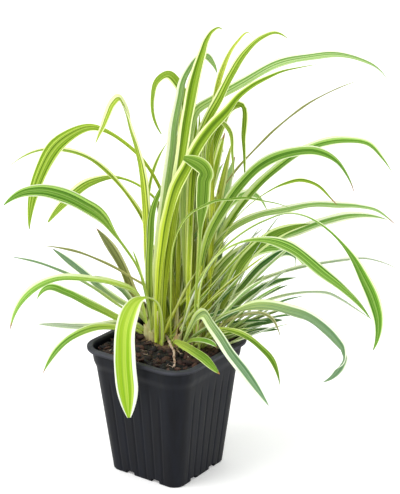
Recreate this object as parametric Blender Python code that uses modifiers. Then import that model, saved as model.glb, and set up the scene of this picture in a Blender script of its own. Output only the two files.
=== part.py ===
# A variegated lilyturf in a deep square nursery pot.
# The origin is the centre of the pot's underside, +Z is up, and lengths are in metres.
# The pot's flat sides face along X and Y, and the plant's crown stands a little towards +Y.

import math
from collections import namedtuple

import bmesh
import bpy
import numpy as np

MM = 0.001
GAP = 0.3 * MM

# Pot: half widths are from the middle to the flat of a side, at the collar and at the foot
POT_HEIGHT = 98.5 * MM
POT_TOP_HALF = 44.1 * MM
POT_BASE_HALF = 31.5 * MM
POT_TOP_CORNER = 15 * MM
POT_BASE_CORNER = 9 * MM
WALL = 1.2 * MM
FLOOR = 1.6 * MM
LIP_HEIGHT = 2.8 * MM
LIP_REACH = 3.3 * MM
LIP_ROUND = 0.8 * MM
COLLAR_HEIGHT = 16 * MM
COLLAR_STEP = 1.3 * MM
FOOT_CHAMFER = 1.2 * MM
FLUTES_PER_SIDE = 6
FLUTE_WIDTH = 2.6 * MM
FLUTE_DEPTH = 0.5 * MM
FLUTE_TOP = 80 * MM
FLUTE_FADE = 8 * MM
FLUTE_BOTTOM = 4.2 * MM
FLUTE_FLOOR = 0.4
CORNER_STEPS = 4
SLOT_WIDTH = 7.5 * MM
SLOT_HEIGHT = 2.8 * MM
SLOT_DEPTH = 8 * MM
SLOT_OFFSET = 11.5 * MM

# Compost
COMPOST_TOP = 92 * MM
COMPOST_EDGE = 1.5 * MM

# Crown: a low mound that the leaves rise from
CROWN_CENTRE = (0, 16 * MM)
CROWN_LENGTH = 72 * MM
CROWN_WIDTH = 50 * MM
CROWN_HEIGHT = 2.5 * MM
CROWN_BASE = COMPOST_TOP + GAP

# Roots on the compost: radius, and the points that each passes over, in mm
ROOTS = {
    "root_thick": (1.1, ((11, -11), (14, -12), (18, -16), (21, -20), (25, -25), (28, -30))),
    "root_thin_a": (0.5, ((38, -20), (37, -16), (36, -11), (34, -6))),
    "root_thin_b": (0.5, ((18, -8), (22, -9), (26, -10), (30, -12))),
}

# Leaves
BLADE_THICKNESS = 0.5 * MM
ROOT_LIFT = 0.5 * MM
STEPS_PER_STRETCH = 2
ROOT_SHARE = 0.45
SLENDER_ROOT_SHARE = 0.22
SLENDER_RISE = 0.2
WIDEST_FROM = 0.35
TAPER_FROM = 0.74
TIP_SHARE = 0.1
ROOT_FOLD = math.radians(50)
TIP_FOLD = math.radians(15)

# A leaf rises from root, in mm from the pot's axis, in the upright plane that points to heading,
# in degrees from +X towards +Y. Its path is where the midrib goes in that plane after it leaves the
# crown, as mm out from the root and up from the compost. Roll turns the blade about its midrib, in
# degrees, at even shares of its length. Sweep is how far the tip lies to the left, in mm. A slender
# leaf has a thin stalk, and slender is the share of its length at which it has its full width.
Leaf = namedtuple("Leaf", "root heading width roll path sweep slender", defaults=(0, 0))

LEAVES = (
    # Tall leaves that stand up from the middle and bend over near their tips
    Leaf((-22, 11), 232, 11, (30, 30, -50),
         ((4, 50), (13, 149), (17, 163), (20, 175), (23, 182), (25, 185), (29, 182), (33, 175),
          (37, 167), (40, 162), (43, 156)), sweep=15),
    Leaf((-8, 28), 190, 8, (-10, -10, -70),
         ((-2, 80), (-1, 150), (1, 189), (9, 196), (17, 191), (21, 179), (20, 163), (15, 153))),
    Leaf((-10, 2), 67, 14, (-70, -70, -50),
         ((2, 48), (13, 148), (15, 170), (18, 185), (20, 196), (24, 204), (30, 211), (36, 212),
          (40, 208), (44, 200)), sweep=-10),
    Leaf((-6, 5), 20, 13, (60, 60, 60),
         ((1, 35), (8, 91), (16, 154), (20, 180), (24, 201), (28, 217), (31, 227), (35, 233),
          (39, 235), (41, 234)), sweep=5),
    Leaf((18, 26), 60, 6, (30, 30, 20),
         ((4, 100), (4, 170), (11, 203), (22, 222), (30, 228), (35, 223))),
    Leaf((7, 21), 15, 10, (50, 70, 40),
         ((0, 80), (10, 159), (15, 171), (24, 187), (32, 203), (42, 219), (54, 231), (64, 235),
          (72, 232)), sweep=-10),
    Leaf((3, 26), 47, 9, (50, 40, 30),
         ((-4, 75), (-4, 123), (1, 159), (5, 172), (16, 179), (39, 191), (63, 203), (87, 207),
          (106, 208), (124, 204), (138, 197), (147, 187)), sweep=5),
    Leaf((-8, 0), 28, 14, (40, 50, 10),
         ((6, 76), (10, 99), (16, 122), (24, 138), (31, 152), (41, 167), (52, 180), (60, 191),
          (69, 199), (79, 205), (89, 210), (99, 213), (111, 216)), sweep=-20),
    Leaf((21, 4), 0, 11, (-50, -60, -65),
         ((4, 67), (6, 84), (7, 100), (9, 115), (10, 124), (11, 133), (13, 138), (11, 142),
          (8, 144), (2, 146), (-5, 147)), sweep=-5, slender=0.75),
    Leaf((11, 22), 353, 6, (-10, 0, 0),
         ((3, 73), (8, 126), (13, 160), (20, 169), (26, 165), (29, 148), (30, 131)), sweep=5),
    Leaf((11, 24), 7, 7, (-50, -60, -70),
         ((2, 48), (4, 108), (13, 160), (22, 178), (27, 180), (29, 154), (29, 124)), sweep=15),
    Leaf((-23, 16), 60, 5, (20, 20, 10),
         ((-4, 40), (-3, 100), (4, 128), (16, 146)), sweep=10),
    Leaf((-20, 8), 60, 8, (30, 30, 10),
         ((-1, 40), (-1, 77), (1, 107), (8, 125)), sweep=-10),
    # Leaves that arch to the left
    Leaf((-15, 18), 206, 15, (-40, -50, -70),
         ((0, 60), (4, 116), (24, 144), (53, 158), (75, 146), (93, 117), (102, 79)), slender=0.78),
    Leaf((-21, 20), 196, 6, (-10, -10, -30),
         ((4, 50), (16, 92), (33, 114), (53, 130), (89, 135), (121, 119))),
    Leaf((-13, 26), 186, 12, (-30, -30, -70),
         ((3, 60), (12, 100), (30, 112), (49, 115), (68, 109), (95, 89), (112, 71)), slender=0.8),
    Leaf((-15, -1), 244, 13, (-60, -70, -40),
         ((5, 48), (11, 64), (20, 79), (29, 92), (38, 104), (51, 114), (66, 123), (83, 129),
          (97, 129), (109, 123)), slender=0.64),
    Leaf((-22, 4), 238, 9, (-10, -20, -20),
         ((2, 20), (8, 37), (22, 46), (43, 53), (70, 57), (88, 50), (103, 25))),
    Leaf((-20, 24), 190, 3, (-20, -20, -20),
         ((2, 18), (12, 32), (29, 40), (50, 48), (80, 54), (107, 54))),
    Leaf((-26, 26), 175, 8, (-20, -10, -10),
         ((4, 7), (18, 9), (36, 11), (56, 16), (79, 26), (114, 40))),
    Leaf((-26, 18), 200, 4, (-20, -20, -10),
         ((3, 8), (12, 13), (25, 18), (46, 31), (80, 45), (115, 51))),
    Leaf((-30, 20), 170, 10, (-10, 0, 0),
         ((8, 10), (20, 22), (32, 41), (48, 58), (61, 68))),
    Leaf((-28, 8), 225, 10, (-30, -30, -20),
         ((5, 8), (16, 13), (36, 25), (57, 38), (70, 43), (78, 35))),
    Leaf((-30, 12), 212, 8, (-30, -30, -20),
         ((6, 8), (20, 8), (41, 5), (68, 6), (81, 7))),
    Leaf((-26, 4), 240, 9, (-30, -20, 0),
         ((6, 8), (18, 11), (40, 14), (57, 9), (71, -3), (78, -13))),
    Leaf((-26, 14), 195, 7, (-20, -20, -10),
         ((3, 8), (8, 14), (24, 35), (43, 44)), sweep=5),
    # The broad leaf that hangs down in front of the pot
    Leaf((-3, -4), 277, 17, (0, -10, -40),
         ((-1, 16), (5, 37), (18, 46), (32, 47), (45, 36), (49, 14), (47, -17), (46, -35)), slender=0.52),
    # Leaves that arch high to the right
    Leaf((2, 32), 55, 3, (10, 10, 10),
         ((2, 50), (6, 88), (21, 112), (49, 142), (89, 171), (128, 185))),
    Leaf((14, 22), 38, 11, (30, 40, 20),
         ((1, 50), (8, 85), (17, 104), (30, 124), (43, 138), (62, 147), (79, 149), (93, 143),
          (101, 133), (106, 122)), sweep=-25),
    Leaf((4, 37), 25, 10, (50, 40, 20),
         ((6, 46), (29, 100), (53, 128), (74, 144), (89, 150), (102, 152), (119, 150), (128, 141),
          (136, 130)), sweep=10),
    Leaf((21, 22), 0, 6, (50, 50, 10),
         ((2, 52), (23, 103), (42, 121), (60, 132), (73, 136), (85, 134), (94, 127), (99, 123)),
         sweep=10, slender=0.85),
    Leaf((4, 0), 350, 3, (60, 50, 0),
         ((0, 40), (8, 92), (23, 110), (36, 118), (48, 124), (61, 128), (76, 132), (93, 134),
          (106, 135), (117, 135)), sweep=-5),
    Leaf((4, 29), 25, 9, (30, 30, 10),
         ((1, 30), (12, 65), (31, 88), (48, 97), (67, 102), (88, 107), (104, 107), (118, 107),
          (130, 105), (138, 100), (144, 95)), sweep=5),
    Leaf((5, 15), 359, 14, (-10, -10, 40),
         ((2, 29), (18, 60), (44, 90), (69, 108), (89, 117), (102, 117), (115, 113), (127, 106),
          (138, 96), (147, 83), (155, 70), (160, 55), (160, 45), (157, 34)), slender=0.88),
    # Leaves that arch low to the right
    Leaf((9, 32), 45, 10, (30, 30, 30),
         ((-1, 25), (8, 44), (24, 63), (44, 72), (65, 77), (90, 85), (110, 89), (129, 88), (139, 85))),
    Leaf((22, 27), 30, 11, (60, 60, 30),
         ((2, 20), (9, 36), (25, 68), (42, 84), (69, 95))),
    Leaf((26, 5), 11, 14, (10, 20, 0),
         ((-1, 32), (5, 65), (21, 84), (38, 93), (55, 95), (70, 92), (97, 78), (110, 72),
          (122, 65), (133, 56)), sweep=-20, slender=0.66),
    Leaf((26, 23), 20, 3, (50, 50, 40),
         ((5, 16), (20, 30), (38, 40), (57, 47), (72, 50), (83, 50), (93, 46), (102, 41), (114, 34))),
    Leaf((15, 30), 40, 6, (10, 10, 10),
         ((1, 18), (10, 28), (24, 36), (38, 45), (53, 51), (68, 55), (85, 58), (100, 60),
          (115, 61), (128, 58), (141, 52))),
    Leaf((17, 33), 70, 7, (20, 30, 50),
         ((5, 18), (26, 35), (48, 51), (68, 55), (77, 48), (76, 41))),
    Leaf((25, 28), 60, 6, (30, 30, 20),
         ((8, 21), (32, 43), (54, 51)), sweep=-20),
    Leaf((30, 14), 355, 12, (-60, -60, -60, -65, -70, -72, -75, -80, -70, 30, 50),
         ((3, 24), (26, 39), (50, 47), (70, 48), (82, 48), (95, 44), (106, 38), (113, 32),
          (115, 27), (112, 20), (107, 12), (99, 5)), slender=0.4),
    Leaf((30, 19), 15, 4, (10, 10, 0),
         ((5, 19), (22, 30), (35, 33), (42, 30), (46, 24), (49, 17))),
    Leaf((25, 10), 345, 7, (10, 10, -20),
         ((10, 18), (28, 25), (44, 26), (60, 23), (73, 17), (78, 11), (82, 2))),
    Leaf((13, 2), 342, 10, (70, 70, 70),
         ((13, 25), (20, 34), (27, 38), (35, 33), (45, 27), (56, 19), (72, 11), (85, 3), (98, -6))),
    Leaf((8, -4), 335, 7, (50, 60, 60),
         ((3, 9), (17, 12), (34, 13), (48, 13), (59, 11), (67, 9))),
    Leaf((16, -2), 20, 6, (20, 20, 0),
         ((5, 10), (18, 15), (29, 15)), sweep=-15),
    # Leaves that arch away behind
    Leaf((-8, 34), 110, 9, (-10, -20, -10),
         ((4, 50), (20, 95), (50, 125), (85, 130), (110, 112))),
    Leaf((-2, 35), 92, 8, (40, 60, 70),
         ((3, 35), (20, 70), (50, 90), (85, 88), (108, 66))),
    Leaf((-14, 34), 135, 8, (0, 0, -10),
         ((4, 30), (16, 55), (40, 72), (72, 72), (98, 50))),
    Leaf((-20, 32), 138, 9, (10, 10, 30),
         ((4, 18), (18, 34), (42, 42), (76, 36), (98, 18))),
    Leaf((7, 36), 75, 8, (30, 40, 60),
         ((5, 22), (22, 42), (50, 54), (82, 50), (104, 30))),
)

POT_COLOUR = (0.018, 0.019, 0.022)
COMPOST_COLOUR = (0.035, 0.018, 0.01)
CROWN_COLOUR = (0.35, 0.27, 0.14)
ROOT_COLOUR = (0.62, 0.5, 0.33)
LEAF_COLOUR = (0.22, 0.42, 0.05)


def clear_scene():
    for old in list(bpy.data.objects):
        bpy.data.objects.remove(old)


def make_material(name, colour, roughness):
    material = bpy.data.materials.new(name)
    material.use_nodes = True
    shader = material.node_tree.nodes["Principled BSDF"]
    shader.inputs["Base Color"].default_value = (*colour, 1)
    shader.inputs["Roughness"].default_value = roughness
    shader.inputs["Metallic"].default_value = 0
    return material


def add_object(name, data, material, collection):
    item = bpy.data.objects.new(name, data)
    collection.objects.link(item)
    data.materials.append(material)
    return item


def square_ring(half, corner, height, flute_depth=0, flutes=0):
    # A level square with round corners, its sides dented by evenly spaced flutes.
    flat = half - corner
    pitch = 2 * flat / max(flutes, 1)
    side = []
    for step in range(CORNER_STEPS + 1):
        angle = math.radians(-90 + 90 * step / CORNER_STEPS)
        side.append((flat + corner * math.cos(angle), -flat + corner * math.sin(angle)))
    for flute in range(flutes):
        middle = -flat + (flute + 0.5) * pitch
        for offset, dent in ((-1, 0), (-FLUTE_FLOOR, 1), (FLUTE_FLOOR, 1), (1, 0)):
            side.append((half - dent * flute_depth, middle + offset * FLUTE_WIDTH / 2))
    ring = []
    for quarter in range(4):
        turn = math.radians(90 * quarter)
        for x, y in side:
            ring.append((x * math.cos(turn) - y * math.sin(turn),
                         x * math.sin(turn) + y * math.cos(turn), height))
    return ring


def loft(name, rings):
    # A closed solid through rings of equal size, which turn anticlockwise seen from above.
    # They run up the outside and, for a shell, on down the inside, and a flat face closes each end.
    count = len(rings[0])
    points = [point for ring in rings for point in ring]
    faces = [tuple(reversed(range(count)))]
    for level in range(len(rings) - 1):
        start = level * count
        for index in range(count):
            following = (index + 1) % count
            faces.append((start + index, start + following,
                          start + count + following, start + count + index))
    faces.append(tuple(range((len(rings) - 1) * count, len(rings) * count)))
    mesh = bpy.data.meshes.new(name)
    mesh.from_pydata(points, [], faces)
    mesh.update()
    return mesh


def wall_half(height):
    # Half the pot's width below the collar's step, where the wall leans straight out.
    share = height / POT_HEIGHT
    return POT_BASE_HALF + (POT_TOP_HALF - COLLAR_STEP - POT_BASE_HALF) * share


def wall_corner(height):
    return POT_BASE_CORNER + (POT_TOP_CORNER - POT_BASE_CORNER) * height / POT_HEIGHT


def make_pot(collection, cutters):
    step = POT_HEIGHT - COLLAR_HEIGHT
    lip = POT_HEIGHT - LIP_HEIGHT
    reach = COLLAR_STEP + LIP_REACH
    outside = (
        # height, extra half width, flute depth
        (0, -FOOT_CHAMFER, 0),
        (FOOT_CHAMFER, 0, 0),
        (FLUTE_BOTTOM, 0, FLUTE_DEPTH),
        (FLUTE_TOP - FLUTE_FADE, 0, FLUTE_DEPTH),
        (FLUTE_TOP, 0, 0),
        (step, 0, 0),
        (step + COLLAR_STEP, COLLAR_STEP, 0),
        (lip, COLLAR_STEP, 0),
        (lip, reach - LIP_ROUND, 0),
        (lip + LIP_ROUND, reach, 0),
        (POT_HEIGHT - LIP_ROUND, reach, 0),
        (POT_HEIGHT, reach - LIP_ROUND, 0),
    )
    inside = (
        (POT_HEIGHT, COLLAR_STEP - WALL),
        (step + COLLAR_STEP, COLLAR_STEP - WALL),
        (step, -WALL),
        (FLOOR, -WALL),
    )
    rings = []
    for height, extra, depth in outside:
        rings.append(square_ring(wall_half(height) + extra, wall_corner(height) + extra,
                                 height, depth, FLUTES_PER_SIDE))
    for height, extra in inside:
        rings.append(square_ring(wall_half(height) + extra, wall_corner(height) + extra,
                                 height, 0, FLUTES_PER_SIDE))
    plastic = make_material("pot_plastic", POT_COLOUR, 0.45)
    pot = add_object("pot", loft("pot", rings), plastic, collection)
    pot.data.shade_smooth()
    pot.data.set_sharp_from_angle(angle=math.radians(35))
    cut = pot.modifiers.new("drain_slots", "BOOLEAN")
    cut.operation = "DIFFERENCE"
    cut.operand_type = "COLLECTION"
    cut.collection = cutters
    cut.solver = "EXACT"
    for quarter in range(4):
        for side in (-1, 1):
            add_slot_cutter(f"slot_{quarter}_{'ab'[side > 0]}", math.radians(90 * quarter), side, cutters)


def add_slot_cutter(name, turn, side, cutters):
    # A block across the pot's bottom edge, which takes a drain slot out of the wall and the floor.
    bm = bmesh.new()
    bmesh.ops.create_cube(bm, size=1)
    reach = 2 * SLOT_DEPTH
    for vert in bm.verts:
        vert.co.x = vert.co.x * reach + POT_BASE_HALF
        vert.co.y = vert.co.y * SLOT_WIDTH + side * SLOT_OFFSET
        vert.co.z = vert.co.z * 2 * SLOT_HEIGHT
    mesh = bpy.data.meshes.new(name)
    bm.to_mesh(mesh)
    bm.free()
    cutter = bpy.data.objects.new(name, mesh)
    cutter.rotation_euler.z = turn
    cutter.hide_render = True
    cutter.display_type = "WIRE"
    cutters.objects.link(cutter)


def make_compost(collection):
    levels = (
        (FLOOR + GAP, 0),
        (COMPOST_TOP - COMPOST_EDGE, 0),
        (COMPOST_TOP, COMPOST_EDGE),
    )
    rings = []
    for height, inset in levels:
        inwards = WALL + GAP + inset
        rings.append(square_ring(wall_half(height) - inwards, wall_corner(height) - inwards, height))
    bark = make_material("compost", COMPOST_COLOUR, 0.9)
    add_object("compost", loft("compost", rings), bark, collection)


def crown_rise(x, y):
    # Height of the crown above the compost: flat in the middle and round at the edge.
    across = ((x - CROWN_CENTRE[0]) / (CROWN_LENGTH / 2)) ** 2
    across += ((y - CROWN_CENTRE[1]) / (CROWN_WIDTH / 2)) ** 2
    return CROWN_HEIGHT * max(0, 1 - across ** 6)


def make_crown(collection):
    bm = bmesh.new()
    bmesh.ops.create_uvsphere(bm, u_segments=28, v_segments=12, radius=1)
    for vert in bm.verts:
        top = vert.co.z > 0.001
        vert.co.x = CROWN_CENTRE[0] + vert.co.x * CROWN_LENGTH / 2
        vert.co.y = CROWN_CENTRE[1] + vert.co.y * CROWN_WIDTH / 2
        vert.co.z = CROWN_BASE + (crown_rise(vert.co.x, vert.co.y) if top else 0)
    mesh = bpy.data.meshes.new("crown")
    bm.to_mesh(mesh)
    bm.free()
    mesh.shade_smooth()
    add_object("crown", mesh, make_material("crown", CROWN_COLOUR, 0.8), collection)


def make_root(name, radius, points, material, collection):
    curve = bpy.data.curves.new(name, "CURVE")
    curve.dimensions = "3D"
    curve.bevel_depth = radius * MM
    curve.bevel_resolution = 2
    curve.use_fill_caps = True
    spline = curve.splines.new("POLY")
    route = smooth_path([(x * MM, y * MM) for x, y in points], STEPS_PER_STRETCH)
    spline.points.add(len(route) - 1)
    height = COMPOST_TOP + GAP + radius * MM
    for point, (x, y) in zip(spline.points, route):
        point.co = (x, y, height, 1)
    add_object(name, curve, material, collection)


def smooth_path(points, steps):
    # A curve through the points, cut into equal steps between each two of them. Each stretch is a
    # cubic whose end slopes follow from the points on either side.
    points = np.array(points, float)
    reach = np.concatenate([[0], np.cumsum(np.linalg.norm(np.diff(points, axis=0), axis=1))])
    slopes = np.gradient(points, reach, axis=0, edge_order=2)
    stretch = np.repeat(np.arange(len(points) - 1), steps)
    share = np.tile(np.arange(steps) / steps, len(points) - 1)[:, None]
    length = np.diff(reach)[stretch][:, None]
    curve = (2 * share ** 3 - 3 * share ** 2 + 1) * points[stretch]
    curve += (share ** 3 - 2 * share ** 2 + share) * length * slopes[stretch]
    curve += (3 * share ** 2 - 2 * share ** 3) * points[stretch + 1]
    curve += (share ** 3 - share ** 2) * length * slopes[stretch + 1]
    return np.vstack([curve, points[-1]])


def blade_width(along, slender):
    # Share of the full width: narrow at the root, full further along, pointed at the tip.
    root_share = SLENDER_ROOT_SHARE if slender else ROOT_SHARE
    widening, widest = (SLENDER_RISE, slender) if slender else (WIDEST_FROM, WIDEST_FROM)
    rise = np.clip(1 - (widest - along) / widening, 0, 1)
    swell = root_share + (1 - root_share) * rise * rise * (3 - 2 * rise)
    taper = np.clip((along - TAPER_FROM) / (1 - TAPER_FROM), 0, 1)
    return swell * (1 - (1 - TIP_SHARE) * taper ** 2)


def unit(vectors):
    return vectors / np.linalg.norm(vectors, axis=1)[:, None]


def make_leaf(name, leaf, material, collection):
    # The blade is a strip that is folded along its midrib, in the leaf's own frame: X points out
    # along the heading, Z up and Y to the left.
    x, y = leaf.root[0] * MM, leaf.root[1] * MM
    start = (0, CROWN_BASE + crown_rise(x, y) + ROOT_LIFT - COMPOST_TOP)
    path = smooth_path([start, *np.array(leaf.path) * MM], STEPS_PER_STRETCH)
    steps = np.linalg.norm(np.diff(path, axis=0), axis=1)
    along = np.concatenate([[0], np.cumsum(steps)]) / steps.sum()
    midrib = np.column_stack([path[:, 0], leaf.sweep * MM * along ** 2, path[:, 1]])
    tangent = unit(np.gradient(midrib, axis=0))
    side = np.array([0.0, 1.0, 0.0]) - tangent[:, 1:2] * tangent
    side = unit(side)
    face = np.cross(tangent, side)
    roll = np.radians(np.interp(along, np.linspace(0, 1, len(leaf.roll)), leaf.roll))[:, None]
    rolled_side = side * np.cos(roll) + face * np.sin(roll)
    rolled_face = face * np.cos(roll) - side * np.sin(roll)
    half = (blade_width(along, leaf.slender) * leaf.width * MM / 2)[:, None]
    fold = (ROOT_FOLD + (TIP_FOLD - ROOT_FOLD) * along)[:, None]
    lift = half * np.sin(fold) * rolled_face
    reach = half * np.cos(fold) * rolled_side
    columns = (midrib + lift - reach, midrib, midrib + lift + reach)

    bm = bmesh.new()
    rows = len(midrib) - 1
    bmesh.ops.create_grid(bm, x_segments=rows, y_segments=2, size=1)
    for vert in bm.verts:
        row = round((vert.co.x + 1) / 2 * rows)
        column = round(vert.co.y) + 1
        vert.co = columns[column][row]
    mesh = bpy.data.meshes.new(name)
    bm.to_mesh(mesh)
    bm.free()
    mesh.shade_smooth()
    blade = add_object(name, mesh, material, collection)
    blade.location = (x, y, COMPOST_TOP)
    blade.rotation_euler.z = math.radians(leaf.heading)
    thickness = blade.modifiers.new("thickness", "SOLIDIFY")
    thickness.thickness = BLADE_THICKNESS
    thickness.offset = 0
    thickness.use_even_offset = True


def main():
    clear_scene()
    parts = bpy.data.collections.new("potted_lilyturf")
    cutters = bpy.data.collections.new("cutters")
    bpy.context.scene.collection.children.link(parts)
    bpy.context.scene.collection.children.link(cutters)
    make_pot(parts, cutters)
    make_compost(parts)
    make_crown(parts)
    root_material = make_material("root", ROOT_COLOUR, 0.7)
    for name, (radius, points) in ROOTS.items():
        make_root(name, radius, points, root_material, parts)
    leaf_material = make_material("leaf", LEAF_COLOUR, 0.45)
    for number, leaf in enumerate(LEAVES, start=1):
        make_leaf(f"leaf_{number:02d}", leaf, leaf_material, parts)


main()
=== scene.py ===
import math

import bpy
import numpy as np
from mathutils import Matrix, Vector


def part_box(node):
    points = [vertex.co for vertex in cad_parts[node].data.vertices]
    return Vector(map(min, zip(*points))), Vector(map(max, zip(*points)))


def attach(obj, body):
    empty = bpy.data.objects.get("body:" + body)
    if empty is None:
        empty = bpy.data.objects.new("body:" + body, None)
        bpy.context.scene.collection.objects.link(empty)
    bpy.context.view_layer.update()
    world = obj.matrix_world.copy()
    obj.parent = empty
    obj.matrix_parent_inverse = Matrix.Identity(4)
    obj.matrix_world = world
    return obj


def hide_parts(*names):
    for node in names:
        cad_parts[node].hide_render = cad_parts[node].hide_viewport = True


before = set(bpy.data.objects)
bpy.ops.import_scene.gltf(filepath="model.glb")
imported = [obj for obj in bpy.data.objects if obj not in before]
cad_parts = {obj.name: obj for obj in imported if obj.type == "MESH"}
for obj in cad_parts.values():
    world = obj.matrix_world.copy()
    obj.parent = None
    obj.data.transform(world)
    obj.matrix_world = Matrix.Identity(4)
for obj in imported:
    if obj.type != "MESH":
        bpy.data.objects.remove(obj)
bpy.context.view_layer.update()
mm = 0.001
potLow, compostLow, crownLow = (np.array(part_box(node)[0]) for node in ("pot", "compost", "crown"))
compostHigh, crownHigh = (np.array(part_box(node)[1]) for node in ("compost", "crown"))
crownCentre, crownHalf = (crownLow + crownHigh) / 2, (crownHigh - crownLow) / 2
print("frame loaded:", len(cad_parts), "nodes")


def addObject(name, data):
    made = bpy.data.objects.new(name, data)
    bpy.context.scene.collection.objects.link(made)
    return made


def paint(red, green, blue):
    # screen values of 0 to 255 as the linear colour that a shader takes
    screen = np.array([red, green, blue]) / 255
    linear = np.where(screen <= 0.04045, screen / 12.92, ((screen + 0.055) / 1.055) ** 2.4)
    return (*linear.tolist(), 1.0)


# Camera first, then the pieces from the ground up
cameraSetup = dict(
    azimuth=35.4, elevation=18.5,   # degrees
    distance=1.016, lens=103.85,    # metres, mm
    aimRight=0.0238, aimUp=0.1707,  # what it looks at, from the pot's axis and the floor
)


def addCamera(setup):
    turn, tilt = math.radians(setup["azimuth"]), math.radians(setup["elevation"])
    back = Vector((math.sin(turn) * math.cos(tilt), -math.cos(turn) * math.cos(tilt), math.sin(tilt)))
    right = Vector((math.cos(turn), math.sin(turn), 0))
    target = right * setup["aimRight"] + Vector((0, 0, setup["aimUp"]))
    data = bpy.data.cameras.new("studioCamera")
    data.lens = setup["lens"]
    camera = addObject("studioCamera", data)
    camera.location = target + back * setup["distance"]
    camera.rotation_euler = (-back).to_track_quat("-Z", "Y").to_euler()
    bpy.context.scene.camera = camera


addCamera(cameraSetup)


# Shader helpers
def feed(tree, node, inputs):
    # each input is a number, a colour or another node's output
    for key, value in inputs.items():
        if isinstance(value, bpy.types.NodeSocket):
            tree.links.new(value, node.inputs[key])
        else:
            node.inputs[key].default_value = value


def put(tree, kind, inputs=None, **settings):
    made = tree.nodes.new("ShaderNode" + kind)
    for key, value in settings.items():
        setattr(made, key, value)
    feed(tree, made, inputs or {})
    return made


def objectSpot(tree):
    return put(tree, "TexCoord").outputs["Object"]


def split(tree, vector):
    return put(tree, "SeparateXYZ", {0: vector}).outputs


def layerValue(tree, name):
    return put(tree, "Attribute", attribute_name=name).outputs["Vector"]


def maths(tree, operation, first, second=0.0, third=0.0):
    return put(tree, "Math", {0: first, 1: second, 2: third}, operation=operation).outputs[0]


def times(tree, first, second):
    return maths(tree, "MULTIPLY", first, second)


def ramp(tree, value, low, high, toLow=0.0, toHigh=1.0):
    # a smooth step of value, from toLow at low to toHigh at high
    inputs = {"Value": value, "From Min": low, "From Max": high, "To Min": toLow, "To Max": toHigh}
    return put(tree, "MapRange", inputs, interpolation_type="SMOOTHSTEP").outputs["Result"]


def blend(tree, share, first, second, mode="MIX"):
    mixed = put(tree, "Mix", {0: share, 6: first, 7: second}, data_type="RGBA", blend_type=mode)
    return mixed.outputs[2]


def coated(tree, first, *coats):
    # a screen colour with others laid over it, each with its share
    colour = paint(*first)
    for share, coat in coats:
        colour = blend(tree, share, colour, paint(*coat))
    return colour


def noise(tree, vector, scale, detail=3.0, roughness=0.55):
    inputs = {"Vector": vector, "Scale": scale, "Detail": detail, "Roughness": roughness}
    return put(tree, "TexNoise", inputs).outputs["Fac"]


def stretched(tree, vector, scale):
    return put(tree, "Mapping", {"Vector": vector, "Scale": scale}).outputs["Vector"]


def newMaterial(name):
    material = bpy.data.materials.new(name)
    material.use_nodes = True
    return material, material.node_tree, material.node_tree.nodes["Principled BSDF"]


def newGroup(name, inputs, outputs):
    # an empty shader group; each input is name: (kind, default), each output name: kind
    group = bpy.data.node_groups.new(name, "ShaderNodeTree")
    for key, (kind, default) in inputs.items():
        socket = group.interface.new_socket(key, in_out="INPUT", socket_type="NodeSocket" + kind)
        socket.default_value = default
    for key, kind in outputs.items():
        group.interface.new_socket(key, in_out="OUTPUT", socket_type="NodeSocket" + kind)
    return group, group.nodes.new("NodeGroupInput").outputs, group.nodes.new("NodeGroupOutput")


def dress(tree, shader, colour, rough, height, strength, distance):
    # colour, roughness and a bump of this height, into the shader
    bump = put(tree, "Bump", {"Strength": strength, "Distance": distance, "Height": height})
    feed(tree, shader, {"Base Color": colour, "Roughness": rough, "Normal": bump.outputs["Normal"]})


# Mesh helpers
def gridFaces(rows, columns, closed):
    # quads between neighbouring rows of points; closed joins each row's last point to its first
    row = np.arange(rows - 1)[:, None]
    column = np.arange(columns if closed else columns - 1)[None, :]
    following = (column + 1) % columns
    corners = (row * columns + column, row * columns + following,
               (row + 1) * columns + following, (row + 1) * columns + column)
    return np.stack(np.broadcast_arrays(*corners), axis=-1).reshape(-1, 4)


def fanFaces(start, columns, pole, flip):
    # triangles from a closed row of points to one pole
    first = start + np.arange(columns)
    second = start + (np.arange(columns) + 1) % columns
    corners = (second, first) if flip else (first, second)
    return np.column_stack([*corners, np.full(columns, pole)])


def closedTube(rings):
    # rings: rows x columns x 3, turning anticlockwise about the way they run; poles close both ends.
    # The last value holds attribute layers, of which there are none yet.
    rows, columns = rings.shape[:2]
    poles = np.stack([rings[0].mean(axis=0), rings[-1].mean(axis=0)])
    points = np.vstack([rings.reshape(-1, 3), poles])
    quads = gridFaces(rows, columns, True)
    tris = np.vstack([fanFaces(0, columns, rows * columns, True),
                      fanFaces((rows - 1) * columns, columns, rows * columns + 1, False)])
    return points, quads, tris, {}


def joined(parts):
    # several (points, quads, tris, layers) as one, with their attribute layers end to end
    points, quads, tris, layers, start = [], [], [], {}, 0
    for partPoints, partQuads, partTris, partLayers in parts:
        points.append(partPoints)
        quads.append(partQuads + start)
        tris.append(partTris + start)
        for key, values in partLayers.items():
            layers.setdefault(key, []).append(values)
        start += len(partPoints)
    merged = {key: np.concatenate(values) for key, values in layers.items()}
    return np.vstack(points), np.vstack(quads), np.vstack(tris), merged


def newMesh(name, points, faces):
    mesh = bpy.data.meshes.new(name)
    mesh.from_pydata(points, [], faces)
    return mesh


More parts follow.
